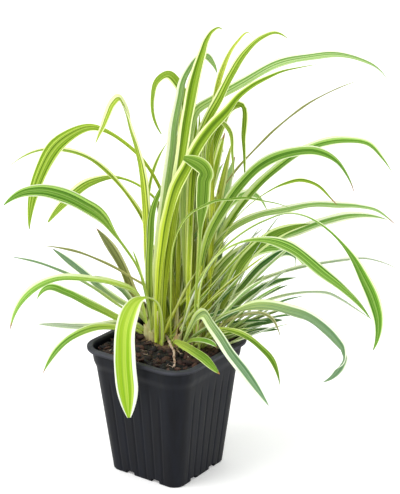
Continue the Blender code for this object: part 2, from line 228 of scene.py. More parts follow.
def addPiece(name, shape, material, stands=()):
    # a mesh at the origin that rides on the root body; layers ending in Map become UV maps
    points, quads, tris, layers = shape
    mesh = newMesh(name, points.tolist(), quads.tolist() + tris.tolist())
    corners = np.empty(len(mesh.loops), int)
    mesh.loops.foreach_get("vertex_index", corners)
    for key, values in layers.items():
        if key.endswith("Map"):
            mesh.uv_layers.new(name=key).uv.foreach_set("vector", values[corners].ravel())
        else:
            layer = mesh.attributes.new(key, "FLOAT_VECTOR", "POINT")
            layer.data.foreach_set("vector", values.ravel())
    mesh.materials.append(material)
    mesh.shade_smooth()
    mesh.update()
    piece = addObject(name, mesh)
    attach(piece, "root")
    if stands:
        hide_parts(*stands)
    return piece


def chordReach(points):
    # the distance along the chords up to each point
    return np.concatenate([[0], np.cumsum(np.linalg.norm(np.diff(points, axis=0), axis=1))])


def smoothPath(points, steps):
    # Cubics through the points, each stretch in equal steps; a point's slope is the gradient there
    # over the distance along the chords.
    points = np.array(points, float)
    reach = chordReach(points)
    slopes = np.gradient(points, reach, axis=0, edge_order=2)
    stretch = np.repeat(np.arange(len(points) - 1), steps)
    share = np.tile(np.arange(steps) / steps, len(points) - 1)[:, None]
    length = np.diff(reach)[stretch][:, None]
    curve = (2 * share ** 3 - 3 * share ** 2 + 1) * points[stretch]
    curve += (share ** 3 - 2 * share ** 2 + share) * length * slopes[stretch]
    curve += (3 * share ** 2 - 2 * share ** 3) * points[stretch + 1]
    curve += (share ** 3 - share ** 2) * length * slopes[stretch + 1]
    return np.vstack([curve, points[-1]])


def unit(vectors):
    return vectors / np.linalg.norm(vectors, axis=-1, keepdims=True)


def turned(x, y, turn):
    # x and y turned about the upright axis
    return x * np.cos(turn) - y * np.sin(turn), x * np.sin(turn) + y * np.cos(turn)


def roundTube(path, radii, sides):
    # a round profile carried along a path: centre + radius * (cos turn * side + sin turn * up)
    tangent = unit(np.gradient(path, axis=0))
    side = unit(np.cross(tangent, np.array([0.0, 0.03, 1.0])))
    up = np.cross(tangent, side)
    turn = 2 * math.pi * np.arange(sides) / sides
    ring = np.cos(turn)[None, :, None] * side[:, None] + np.sin(turn)[None, :, None] * up[:, None]
    return closedTube(path[:, None] + ring * np.broadcast_to(radii, len(path))[:, None, None])


# Pot: half widths are from the axis to the flat of a side
potPlan = dict(
    height=98.5 * mm, topHalf=44.1 * mm, baseHalf=31.5 * mm,
    topCorner=15 * mm, baseCorner=9 * mm,
    wall=1.2 * mm, floor=1.6 * mm, collar=16 * mm, step=1.3 * mm,
    lipHeight=2.8 * mm, lipReach=3.3 * mm, lipRound=0.8 * mm,
    flutes=6, fluteWidth=2.8 * mm, fluteDepth=0.42 * mm, fluteTop=80 * mm, fluteFade=14 * mm,
    slotWidth=7.5 * mm, slotLow=-mm, slotHigh=2.8 * mm, slotDepth=8 * mm, slotOffset=11.5 * mm,
    footRim=2 * mm,
    stepRise=7, stepDrop=1.2,           # mm over which the step runs out, and mm that it starts below
    flatSteps=96, cornerSteps=20, sharpAngle=40,
)


def potHalf(height):
    # half the width under the collar: a straight line up from the base
    share = height / potPlan["height"]
    reach = potPlan["topHalf"] - potPlan["step"] - potPlan["baseHalf"]
    return potPlan["baseHalf"] + reach * share


def potCorner(height):
    # the corner's radius, a straight line as well
    share = height / potPlan["height"]
    return potPlan["baseCorner"] + (potPlan["topCorner"] - potPlan["baseCorner"]) * share


def squareRings(height, extra, flatSteps, cornerSteps, flute=None):
    # Rounded squares, one for each height. On the side that faces +X a point is at
    # (flat + corner * cos a - dent, flat * g + corner * sin a), where g runs over the flat and a over
    # the corner, and the other sides are this one turned by quarters.
    height, extra = np.array(height)[:, None], np.array(extra)[:, None]
    corner = np.maximum(potCorner(height) + extra, 0.2 * mm)
    flat = np.maximum(potHalf(height) + extra - corner, 0)
    g = np.concatenate([np.linspace(-1, 1, flatSteps, endpoint=False), np.ones(cornerSteps)])
    a = np.concatenate([np.zeros(flatSteps), np.linspace(0, math.pi / 2, cornerSteps, endpoint=False)])
    dent = 0
    if flute is not None:
        pitch = 2 / potPlan["flutes"]
        off = np.abs((g + 1) % pitch - pitch / 2) * flat          # from the nearest flute's middle
        groove = 0.5 + 0.5 * np.cos(math.pi * np.clip(off / (potPlan["fluteWidth"] / 2), 0, 1))
        dent = np.array(flute)[:, None] * groove * (a == 0)
    x = flat + corner * np.cos(a) - dent
    y = flat * g + corner * np.sin(a)
    x, y = turned(x[:, None], y[:, None], math.pi / 2 * np.arange(4)[None, :, None])
    rings = np.stack(np.broadcast_arrays(x, y, height[:, None]), axis=-1)
    return rings.reshape(len(height), -1, 3)


def potProfile(plan):
    # Height, extra half width and flute depth, from under the foot up the outside and down the inside.
    # The collar's step follows 3 s squared - 2 s cubed, and the lip's edges are quarter circles.
    top, step, wall = plan["height"], plan["step"], plan["wall"]
    stepHeight = top - plan["collar"]
    under, reach, soft = top - plan["lipHeight"], step + plan["lipReach"], plan["lipRound"]
    arc = np.linspace(0, math.pi / 2, 7)
    foot = [(0.3 * mm, -plan["baseHalf"]), (0.3 * mm, -4.5 * mm), (0.2 * mm, -3.4 * mm),
            (0, -plan["footRim"]), (0, -0.9 * mm), (0.25 * mm, -0.35 * mm), (0.8 * mm, 0)]
    low, high = np.linspace(1.6 * mm, 6 * mm, 8), np.linspace(8 * mm, stepHeight - 2 * mm, 34)
    side = [(height, 0) for height in (*low, *high)]
    rise = np.linspace(0, 1, 11)
    stepRise, stepDrop = plan["stepRise"], plan["stepDrop"]
    collar = [(stepHeight + (stepRise * share - stepDrop) * mm, step * share * share * (3 - 2 * share))
              for share in rise]
    collar += [(height, step) for height in np.linspace(stepHeight + stepRise * mm, under - 0.7 * mm, 6)]
    lip = [(under - 0.2 * mm, step + 0.1 * mm), (under, step + 0.5 * mm)]
    lip += [(under + soft * (1 - math.cos(a)), reach - soft * (1 - math.sin(a))) for a in arc]
    lip += [(top - soft * (1 - math.sin(a)), reach - soft * (1 - math.cos(a))) for a in arc]
    rim = [(top, step), (top, step - 0.6 * wall), (top - 0.15 * mm, step - 0.88 * wall),
           (top - 0.5 * mm, step - wall)]
    inside = [(height, step - wall) for height in np.linspace(top - 2 * mm, stepHeight + step, 6)]
    inside += [(height, -wall) for height in np.linspace(stepHeight, plan["floor"] + 0.8 * mm, 12)]
    inside += [(plan["floor"] + 0.2 * mm, -wall - 0.3 * mm), (plan["floor"], -wall - mm),
               (plan["floor"], -plan["baseHalf"])]
    run = np.array(foot + side + collar + lip + rim + inside)
    fade = np.clip((plan["fluteTop"] - run[:, 0]) / plan["fluteFade"], 0, 1)
    outer = (np.arange(len(run)) >= len(foot) - 1) & (np.arange(len(run)) < len(foot + side))
    bottom = np.clip(run[:, 0] / (3 * mm), 0, 1)
    flute = plan["fluteDepth"] * fade * fade * (3 - 2 * fade) * outer * bottom
    return run[:, 0], run[:, 1], flute


def slotCutter(turn, side, plan):
    # a block through one side's wall and the floor's edge, open at the bottom edge
    half = np.array([plan["slotDepth"], plan["slotWidth"] / 2, (plan["slotHigh"] - plan["slotLow"]) / 2])
    corners = np.array([(x, y, z) for x in (-1, 1) for y in (-1, 1) for z in (-1, 1)]) * half
    middle = (plan["slotHigh"] + plan["slotLow"]) / 2
    corners += np.array([plan["baseHalf"], side * plan["slotOffset"], middle])
    corners[:, 0], corners[:, 1] = turned(corners[:, 0], corners[:, 1], turn)
    faces = [(0, 1, 3, 2), (4, 6, 7, 5), (0, 4, 5, 1), (2, 3, 7, 6), (0, 2, 6, 4), (1, 5, 7, 3)]
    return bpy.data.objects.new("slotCutter", newMesh("slotCutter", corners.tolist(), faces))


def potPlasticMaterial():
    # near-black moulded plastic: flow streaks up the wall, soft dust, and a lip whose top band is scuffed
    # and carries a painted highlight
    material, tree, shader = newMaterial("pottingPlastic")
    spot = objectSpot(tree)
    streak = noise(tree, stretched(tree, spot, (1, 1, 0.05)), 210, 4, 0.6)
    cloud = noise(tree, spot, 24, 4)
    dust = ramp(tree, noise(tree, spot, 900, 2), 0.62, 0.8)
    height = split(tree, spot)[2]
    # painted highlight: the lip's top band is lightened like a sky reflection, and broken up like scuffs
    scuffedAndHighlit = times(tree, ramp(tree, height, 0.0955, 0.098), ramp(tree, cloud, 0.4, 0.62, 0.35, 1))
    colour = coated(tree, (6, 7, 12), (ramp(tree, streak, 0.3, 0.7), (16, 19, 27)),
                    (times(tree, cloud, 0.25), (20, 22, 31)), (times(tree, scuffedAndHighlit, 0.5), (96, 97, 106)),
                    (times(tree, dust, 0.04), (120, 112, 104)))
    feed(tree, shader, {"Specular IOR Level": 0.14})
    grain = maths(tree, "ADD", times(tree, streak, 0.7), times(tree, noise(tree, spot, 2600, 2), 0.2))
    dress(tree, shader, colour, ramp(tree, streak, 0.2, 0.8, 0.42, 0.56), grain, 0.35, 0.0003)
    return material


def makePot(plan):
    height, extra, flute = potProfile(plan)
    rings = squareRings(height, extra, plan["flatSteps"], plan["cornerSteps"], flute)
    shell = addPiece("potShell", closedTube(rings), potPlasticMaterial(), ["pot"])
    cutters = [slotCutter(math.pi / 2 * quarter, side, plan) for quarter in range(4) for side in (-1, 1)]
    group = bpy.data.collections.new("slotCutters")
    bpy.context.scene.collection.children.link(group)
    for cutter in cutters:
        group.objects.link(cutter)
    cut = shell.modifiers.new("drainSlots", "BOOLEAN")
    cut.operation, cut.operand_type, cut.collection = "DIFFERENCE", "COLLECTION", group
    done = bpy.data.meshes.new_from_object(shell.evaluated_get(bpy.context.evaluated_depsgraph_get()))
    shell.modifiers.clear()
    shell.data = done
    done.shade_smooth()
    done.set_sharp_from_angle(angle=math.radians(plan["sharpAngle"]))
    for cutter in cutters:
        bpy.data.objects.remove(cutter)
    bpy.data.collections.remove(group)
    print("pot:", len(done.polygons), "faces")


makePot(potPlan)


# Compost
compostPlan = dict(
    lift=2.3 * mm, rimFade=0.07,                 # how high the top stands over the CAD's
    waves=24, waveLengths=(34 * mm, 3.2 * mm), swell=2.4 * mm, waveSeed=5,
    rings=64, wallRows=8, flatSteps=52, cornerSteps=12, clearance=0.3 * mm,
    chips=430, chipSize=(2.2 * mm, 9 * mm), chipRough=0.28, chipTilt=0.35, chipSeed=11,
    chipWidth=(0.45, 0.8), chipFlat=(0.25, 0.6),  # shares of a chip's length
    sizePower=2.4, chipLift=0.35,                # most chips are small, and partly sunk
    paleBits=12, paleScale=0.55, paleFlat=(0.5, 0.9),
    margin=3 * mm, crownGap=0.85,                # free of bits: along the wall, and a share of the crown
)
waveRandom = np.random.default_rng(compostPlan["waveSeed"])
waveTurn = waveRandom.uniform(0, 2 * math.pi, compostPlan["waves"])
waveStart = waveRandom.uniform(0, 2 * math.pi, compostPlan["waves"])
waveLength = np.geomspace(*compostPlan["waveLengths"], compostPlan["waves"])


def compostRise(x, y):
    # height above the CAD compost: a sum of sine waves in all directions, short ones lower than long ones
    phase = (x[..., None] * np.cos(waveTurn) + y[..., None] * np.sin(waveTurn)) / waveLength * 2 * math.pi
    height = (waveLength / waveLength[0]) ** 0.75
    waves = (np.sin(phase + waveStart) * height).sum(axis=-1) / height.sum()
    return compostPlan["lift"] + compostPlan["swell"] * waves


def compostMaterial():
    # dark peat and bark crumbs with redder and paler patches
    material, tree, shader = newMaterial("barkCompost")
    spot = objectSpot(tree)
    crumbs = put(tree, "TexVoronoi", {"Vector": spot, "Scale": 620.0}, feature="F1")
    broad = noise(tree, spot, 90, 5)
    fine = noise(tree, spot, 900, 4, 0.65)
    tint = put(tree, "SeparateColor", {0: crumbs.outputs["Color"]}).outputs[0]
    lumps = maths(tree, "ADD", times(tree, crumbs.outputs["Distance"], -0.6), fine)
    colour = coated(tree, (6, 5, 5), (ramp(tree, fine, 0.3, 0.7), (26, 20, 16)),
                    (ramp(tree, broad, 0.52, 0.7, 0, 0.6), (52, 36, 28)),
                    (ramp(tree, tint, 0.88, 0.99, 0, 0.4), (104, 84, 62)))
    dress(tree, shader, colour, ramp(tree, fine, 0.2, 0.8, 0.7, 0.98), lumps, 0.9, 0.0009)
    return material


def makeCompost(plan):
    # Rounded squares that shrink to the middle of the top, and the same down the wall and in below.
    # The top is lifted by compostRise, which fades out at the wall.
    inset = potPlan["wall"] + plan["clearance"]
    top, base = compostHigh[2], compostLow[2]
    share = np.linspace(0, 1, plan["rings"]) ** 0.8
    under = np.array([1, 0.66, 0.33])            # rings below, as shares of the way in
    down = np.linspace(base, top - mm, plan["wallRows"])
    first = len(under) + len(down)               # the first ring of the top
    height = np.concatenate([[base] * len(under), down, np.full(plan["rings"], top)])
    half = potHalf(height) - inset
    extra = np.concatenate([-half[:len(under)] * under, np.zeros(len(down)), -half[first:] * share]) - inset
    rings = squareRings(height, extra, plan["flatSteps"], plan["cornerSteps"])
    rim = np.concatenate([np.zeros(first), np.clip(share / plan["rimFade"], 0, 1)])[:, None]
    rings[..., 2] += rim * compostRise(rings[..., 0], rings[..., 1])
    bed = closedTube(rings)
    addPiece("compostBed", bed, compostMaterial(), ["compost"])
    print("compost:", len(bed[0]), "points")


def chipShape(centre, size, turn, roughness, random, rows=5, columns=7):
    # A lumpy pebble: centre + size * direction * (1 + noise), where direction is a sphere's, given by an
    # angle up and an angle round, and noise is a random number for each point.
    up = np.linspace(-1, 1, rows + 2)[1:-1] * math.pi / 2
    around = 2 * math.pi * np.arange(columns) / columns
    ball = np.stack([np.cos(up)[:, None] * np.cos(around), np.cos(up)[:, None] * np.sin(around),
                     np.broadcast_to(np.sin(up)[:, None], (rows, columns))], axis=-1)
    ball = ball * (1 + roughness * random.uniform(-1, 1, (rows, columns, 1))) * np.array(size)
    return closedTube(centre + ball @ turn.T)


def turnMatrix(yaw, pitch, roll):
    # roll about X, then pitch about Y, then yaw about Z
    cy, sy, cp, sp, cr, sr = (f(a) for a in (yaw, pitch, roll) for f in (math.cos, math.sin))
    return (np.array([[cy, -sy, 0], [sy, cy, 0], [0, 0, 1]])
            @ np.array([[cp, 0, sp], [0, 1, 0], [-sp, 0, cp]])
            @ np.array([[1, 0, 0], [0, cr, -sr], [0, sr, cr]]))


def onCompost(random, reach=1.0):
    # a random place inside the pot's wall, off the crown
    while True:
        limit = (potHalf(compostHigh[2]) - compostPlan["margin"]) * reach
        x, y = random.uniform(-limit, limit, 2)
        corner = potCorner(compostHigh[2]) - compostPlan["margin"]
        beyond = np.maximum(np.abs([x, y]) - (limit - corner), 0)
        if np.hypot(*beyond) < corner and crownShare(x, y) > compostPlan["crownGap"]:
            return x, y


def crownRise(x, y):
    # the CAD crown's height above its base: its full height * (1 - r to the 12th), r the share out
    across = ((x - crownCentre[0]) / crownHalf[0]) ** 2 + ((y - crownCentre[1]) / crownHalf[1]) ** 2
    return (crownHigh[2] - crownLow[2]) * np.maximum(0, 1 - across ** 6)


def crownShare(x, y):
    # 0 at the crown's middle and 1 at its edge
    return math.hypot((x - crownCentre[0]) / crownHalf[0], (y - crownCentre[1]) / crownHalf[1])


def chipMaterial(name, dark, light, scale):
    # torn bark: each chip has its own mix of dark and light, with fibres along it
    material, tree, shader = newMaterial(name)
    spot = objectSpot(tree)
    tone = split(tree, layerValue(tree, "chipFacts"))[0]
    grain = noise(tree, stretched(tree, spot, (1, 0.3, 1)), scale, 4, 0.7)
    share = maths(tree, "ADD", times(tree, tone, 0.8), times(tree, grain, 0.5))
    colour = blend(tree, ramp(tree, share, 0.45, 1.2), dark, light)
    dress(tree, shader, colour, ramp(tree, grain, 0.2, 0.8, 0.6, 0.95), grain, 0.7, 0.0004)
    return material


def makeChips(plan):
    random = np.random.default_rng(plan["chipSeed"])
    low, high = plan["chipSize"]
    tilt = plan["chipTilt"]

    def scatter(count, scale, flatness):
        made = []
        for _ in range(count):
            x, y = onCompost(random)
            length = (low + (high - low) * random.random() ** plan["sizePower"]) * scale
            width, thickness = random.uniform(*plan["chipWidth"]), random.uniform(*flatness)
            size = np.array([1, width, thickness]) * length / 2
            turn = turnMatrix(random.uniform(0, 6.3), random.normal(0, tilt), random.normal(0, tilt))
            rise = float(compostRise(np.array(x), np.array(y)))
            z = compostHigh[2] + rise + size[2] * plan["chipLift"]
            points, quads, tris, _ = chipShape((x, y, z), size, turn, plan["chipRough"], random)
            facts = np.tile([random.random(), random.random(), 0], (len(points), 1))
            made.append((points, quads, tris, {"chipFacts": facts}))
        return joined(made)

    bark = chipMaterial("barkChip", paint(6, 4, 4), paint(84, 54, 42), 500)
    pale = chipMaterial("paleGrit", paint(150, 126, 104), paint(226, 214, 196), 900)
    addPiece("barkChips", scatter(plan["chips"], 1.0, plan["chipFlat"]), bark)
    addPiece("paleBits", scatter(plan["paleBits"], plan["paleScale"], plan["paleFlat"]), pale)
    print("chips:", plan["chips"], "dark and", plan["paleBits"], "pale")


# Roots. Each route has a radius and the points that it passes over, in mm; two start back on the crown.
rootPlan = dict(
    routes=dict(
        root_thick=(1.2, ((-16, 9), (-8, 8), (-1, 3), (7, -5), (14, -11), (20, -19), (25, -25), (28, -30))),
        root_thin_a=(0.5, ((38, -20), (37, -16), (36, -11), (34, -6))),
        root_thin_b=(0.5, ((6, -1), (12, -4), (18, -8), (22, -9), (26, -10), (30, -12))),
    ),
    steps=14, sides=12, lift=1.3, wave=0.35,     # lift and wave are shares of the radius
    fibres=14, fibreSteps=14, fibreSides=6, fibreSeed=23, fibreReach=0.94, fibreWander=0.28,
    fibreLength=(6, 17), fibreRadius=(0.1, 0.26), fibreLift=(0.3, 1.6), fibreMargin=3.5,   # mm
)


def rootMaterial():
    # pale woody skin with brown blotches and rings across it
    material, tree, shader = newMaterial("rootSkin")
    spot = objectSpot(tree)
    blotch = noise(tree, spot, 190, 4)
    rings = noise(tree, stretched(tree, spot, (1, 0.25, 0.4)), 1500, 3)
    colour = coated(tree, (196, 164, 140), (ramp(tree, rings, 0.3, 0.7), (232, 212, 190)),
                    (ramp(tree, blotch, 0.48, 0.7, 0, 0.8), (126, 88, 62)))
    dress(tree, shader, colour, ramp(tree, blotch, 0.3, 0.7, 0.5, 0.75), rings, 0.6, 0.0003)
    return material


def makeRoots(plan):
    # Laid roots follow the ground, lifted by radius * (lift + lift * sin(pi * share)) and a slow wave.
    # They thin from 0.95 to 0.6 of the radius, with two fine sine waves on it.
    # Fibres wander: their heading is a running sum of small random turns.
    skin = rootMaterial()
    for name, (radius, route) in plan["routes"].items():
        path = smoothPath(np.array(route) * mm, plan["steps"])
        share = np.linspace(0, 1, len(path))
        wave = plan["wave"] * radius * mm * np.sin(share * 21 + radius * 9)
        ground = compostHigh[2] + compostRise(path[:, 0], path[:, 1])
        ground = np.maximum(ground, crownLow[2] + crownRise(path[:, 0], path[:, 1]) + 0.3 * mm)
        height = ground + radius * mm * (plan["lift"] + plan["lift"] * np.sin(share * math.pi)) + wave
        radii = radius * mm * (0.95 - 0.35 * share + 0.1 * np.sin(share * 47) + 0.08 * np.sin(share * 83))
        tube = roundTube(np.column_stack([path, height]), radii, plan["sides"])
        first, *others = name.split("_")
        addPiece(first + "".join(other.capitalize() for other in others), tube, skin, [name])
    random = np.random.default_rng(plan["fibreSeed"])
    steps = plan["fibreSteps"]
    share = np.linspace(0, 1, steps)
    limit = potHalf(compostHigh[2]) - plan["fibreMargin"] * mm
    made = []
    for _ in range(plan["fibres"]):
        x, y = onCompost(random, plan["fibreReach"])
        heading, length = random.uniform(0, 2 * math.pi), random.uniform(*plan["fibreLength"]) * mm
        turn = heading + np.cumsum(random.normal(0, plan["fibreWander"], steps))
        flat = np.column_stack([x + np.cumsum(np.cos(turn)) * length / steps,
                                y + np.cumsum(np.sin(turn)) * length / steps])
        flat = np.clip(flat, -limit, limit)
        lift = random.uniform(*plan["fibreLift"]) * mm * np.sin(share * math.pi)
        radius = random.uniform(*plan["fibreRadius"]) * mm
        height = compostHigh[2] + radius + (compostRise(flat[:, 0], flat[:, 1]) + lift)
        radii = radius * (1 - 0.5 * share)
        made.append(roundTube(np.column_stack([flat, height]), radii, plan["fibreSides"]))
    addPiece("rootFibres", joined(made), skin)
    print("roots:", len(plan["routes"]), "laid and", plan["fibres"], "fibres")


makeCompost(compostPlan)
makeChips(compostPlan)
makeRoots(rootPlan)


# Crown: the rootstock's mound, and the sheaths that wrap the shoots
crownPlan = dict(underRows=8, rows=26, columns=60, lumps=0.7 * mm)
sheathPlan = dict(
    layers=4, rows=16, columns=15, seed=31,
    wrap=(190, 260), reach=(0.35, 1.0),          # degrees round the shoot, share of its height
    taper=0.45, ragged=0.06, thickness=0.25 * mm, sunk=1.2 * mm,
    thinning=0.1, turnSpread=0.5, toneSpread=0.15,   # each layer is thinner than the last
)
shoots = (
    # root x, y in mm, heading and lean in degrees, height and radius in mm, tone from 0 cream to 1 brown
    (-22, 12, 215, 12, 42, 5.2, 0.25),
    (-13, 9, 230, 4, 46, 5.0, 0.15),
    (-10, 4, 300, 6, 34, 4.2, 0.35),
    (-1, 14, 20, 5, 40, 4.4, 0.2),
    (5, 4, 350, 16, 27, 3.6, 0.5),
    (8, 20, 30, 8, 38, 4.6, 0.3),
    (16, 12, 350, 20, 30, 4.2, 0.45),
    (20, 26, 25, 18, 36, 4.6, 0.35),
    (-16, 26, 160, 14, 36, 4.6, 0.3),
    (-2, 33, 95, 12, 36, 4.6, 0.3),
    (-20, 6, 215, 4, 25, 5.4, 0.3),
    (-14, 2, 240, 6, 21, 4.0, 0.15),
    (-27, 19, 195, 30, 26, 3.8, 0.5),
    (26, 17, 5, 34, 26, 3.8, 0.5),
    (12, 34, 60, 16, 34, 4.2, 0.4),
    (-24, 30, 150, 30, 24, 3.6, 0.55),
)


def crownMaterial():
    # matted fibres and old leaf bases, cream to dark brown
    material, tree, shader = newMaterial("crownFibre")
    spot = objectSpot(tree)
    fibre = noise(tree, stretched(tree, spot, (1, 1, 0.25)), 800, 5, 0.7)
    patch = noise(tree, spot, 150, 4)
    colour = coated(tree, (48, 34, 24), (ramp(tree, fibre, 0.3, 0.7), (150, 122, 84)),
                    (ramp(tree, patch, 0.4, 0.62, 0, 0.8), (60, 42, 30)))
    dress(tree, shader, colour, ramp(tree, patch, 0.3, 0.7, 0.65, 0.9), fibre, 0.9, 0.0008)
    return material


def sheathMaterial():
    # papery leaf base: pale with green veins above, tan and purple-brown where it meets the crown
    material, tree, shader = newMaterial("leafSheath")
    spot = put(tree, "UVMap", uv_map="sheathMap").outputs["UV"]
    facts = layerValue(tree, "sheathFacts")
    along, tone = split(tree, spot)[1], split(tree, facts)[0]
    shifted = put(tree, "VectorMath", {0: spot, 1: facts}, operation="ADD").outputs[0]
    vein = noise(tree, stretched(tree, shifted, (26, 1.2, 1)), 1.0, 3, 0.6)
    patch = noise(tree, stretched(tree, shifted, (4, 2.5, 1)), 1.0, 3)
    brown = maths(tree, "MULTIPLY_ADD", tone, 0.55, times(tree, patch, 0.5))
    foot = maths(tree, "ADD", along, times(tree, patch, 0.25))
    colour = coated(tree, (198, 196, 122), (ramp(tree, vein, 0.35, 0.65), (226, 222, 168)),
                    (ramp(tree, along, 0.45, 1.0, 0, 0.75), (164, 184, 84)),
                    (ramp(tree, brown, 0.34, 0.72, 0, 0.9), (178, 132, 84)),
                    (ramp(tree, foot, 0.34, 0.12, 0, 0.8), (132, 102, 80)))
    feed(tree, shader, {"Subsurface Weight": 0.25, "Subsurface Radius": (1.0, 0.8, 0.4),
                        "Subsurface Scale": 0.001})
    dress(tree, shader, colour, ramp(tree, vein, 0.3, 0.7, 0.45, 0.65), vein, 0.5, 0.0003)
    return material


def makeCrown(plan):
    # A mound of rings round the crown's middle: the point at share r out and angle a is
    # centre + r * (half length * cos a, half width * sin a), as high as crownRise plus sine lumps.
    out = np.linspace(0, 1, plan["underRows"])
    share = np.concatenate([out, np.linspace(1, 0, plan["rows"]) ** 0.7])[:, None]
    angle = 2 * math.pi * np.arange(plan["columns"])[None, :] / plan["columns"]
    x = crownCentre[0] + share * crownHalf[0] * np.cos(angle)
    y = crownCentre[1] + share * crownHalf[1] * np.sin(angle)
    lumps = np.sin(x / mm * 1.1 + 2 * np.sin(y / mm * 0.7)) * np.sin(y / mm * 1.3 + np.cos(x / mm * 0.9))
    top = np.arange(len(share))[:, None] >= plan["underRows"]
    edge = np.clip((1 - share) / 0.15, 0, 1)
    z = crownLow[2] + top * (crownRise(x, y) + plan["lumps"] * lumps * edge)
    mound = closedTube(np.stack([x, y, z], axis=-1))
    addPiece("crownMound", mound, crownMaterial(), ["crown"])


def sheathSurface(shoot, wrap, turn, shareHigh, random, plan):
    # Part of a cone with a slanting, ragged top: at height share t and angle share a it is
    # axis(t) + radius * (1 - taper * t) * (cos, sin)(turn + a * wrap / 2), and t ends lower at the sides.
    x, y, heading, lean, height, radius, tone = shoot
    rows, columns, ragged = plan["rows"], plan["columns"], plan["ragged"]
    a = np.linspace(-1, 1, columns)[None, :]
    reach = shareHigh * (1 - 0.5 * a ** 2) * (1 + random.uniform(-ragged, ragged, (1, columns)))
    t = np.linspace(0, 1, rows)[:, None] * reach
    angle = turn + a * wrap / 2 + 0.1 * np.sin(t * 9)
    flare = 1 - plan["taper"] * t + 0.1 * np.maximum(t / shareHigh - 0.8, 0)
    ahead = math.radians(heading)
    out = np.sin(math.radians(lean)) * height * mm * t ** 1.3
    around = radius * mm * flare * (0.8 + 0.2 * np.cos(angle - ahead) ** 2)
    px = x * mm + out * math.cos(ahead) + around * np.cos(angle)
    py = y * mm + out * math.sin(ahead) + around * np.sin(angle)
    pz = np.broadcast_to(crownHigh[2] - plan["sunk"] + height * mm * t, px.shape)
    outer = np.stack([px, py, pz], axis=-1)
    inward = np.stack([np.cos(angle), np.sin(angle), 0 * angle], axis=-1) * plan["thickness"]
    rings = np.concatenate([outer, (outer - inward)[:, ::-1]], axis=1)
    points, quads, tris, _ = closedTube(rings)
    across = np.concatenate([a, a[:, ::-1]], axis=1) / 2 + 0.5
    up = np.concatenate([t, t[:, ::-1]], axis=1)
    uv = np.stack([np.broadcast_to(across, up.shape), up], axis=-1).reshape(-1, 2)
    uv = np.vstack([uv, [[0.5, 0], [0.5, shareHigh]]])
    facts = np.tile([tone, 5 * random.random(), 0], (len(points), 1))
    return points, quads, tris, {"sheathMap": uv, "sheathFacts": facts}


def makeSheaths(plan):
    random = np.random.default_rng(plan["seed"])
    made = []
    for *stance, radius, tone in shoots:
        for layer in range(plan["layers"]):
            turn = math.radians(stance[2]) + layer * math.pi + random.normal(0, plan["turnSpread"])
            shade = min(1, max(0, tone + random.normal(0, plan["toneSpread"])))
            narrowed = (*stance, radius * (1 - plan["thinning"] * layer), shade)
            wrap = math.radians(random.uniform(*plan["wrap"]))
            made.append(sheathSurface(narrowed, wrap, turn, random.uniform(*plan["reach"]), random, plan))
    addPiece("leafSheaths", joined(made), sheathMaterial())
    print("sheaths:", len(made))


makeCrown(crownPlan)
makeSheaths(sheathPlan)


# Blades: a closed strip with a softened fold, thin at the edges, with a keel under the midrib
bladePlan = dict(
    columns=9, fillColumns=7, steps=8,
    midThickness=0.42 * mm, edgeThickness=0.16 * mm, keel=0.22 * mm, keelShare=0.12,
    rootShare=0.45, widening=0.35, widestFrom=0.35,
    slenderRootShare=0.22, slenderWidening=0.2,
    taperFrom=0.74, taperPower=2, tipShare=0.05,
    rootFold=50, tipFold=15, foldSoftness=0.22,
    ripple=0.3 * mm, rippleLength=34 * mm,
    rootLift=0.5 * mm,
)
tipPlans = (
    # leaf numbers, and how their tips depart from the plan: blunt, round and long
    ((2, 16, 20, 27), dict(taperFrom=0.8, tipShare=0.15)),
    ((9,), dict(taperFrom=0.9, tipShare=0.35)),
    ((8,), dict(taperFrom=0.68, taperPower=0.9)),
)


def bladeWidth(along, plan):
    # share of the full width: a smooth swell up to where it is widest, then a power curve down to the tip
    rise = np.clip(1 - (plan["widestFrom"] - along) / plan["widening"], 0, 1)
    swell = plan["rootShare"] + (1 - plan["rootShare"]) * rise * rise * (3 - 2 * rise)
    taper = np.clip((along - plan["taperFrom"]) / (1 - plan["taperFrom"]), 0, 1)
    return swell * (1 - (1 - plan["tipShare"]) * taper ** plan["taperPower"])


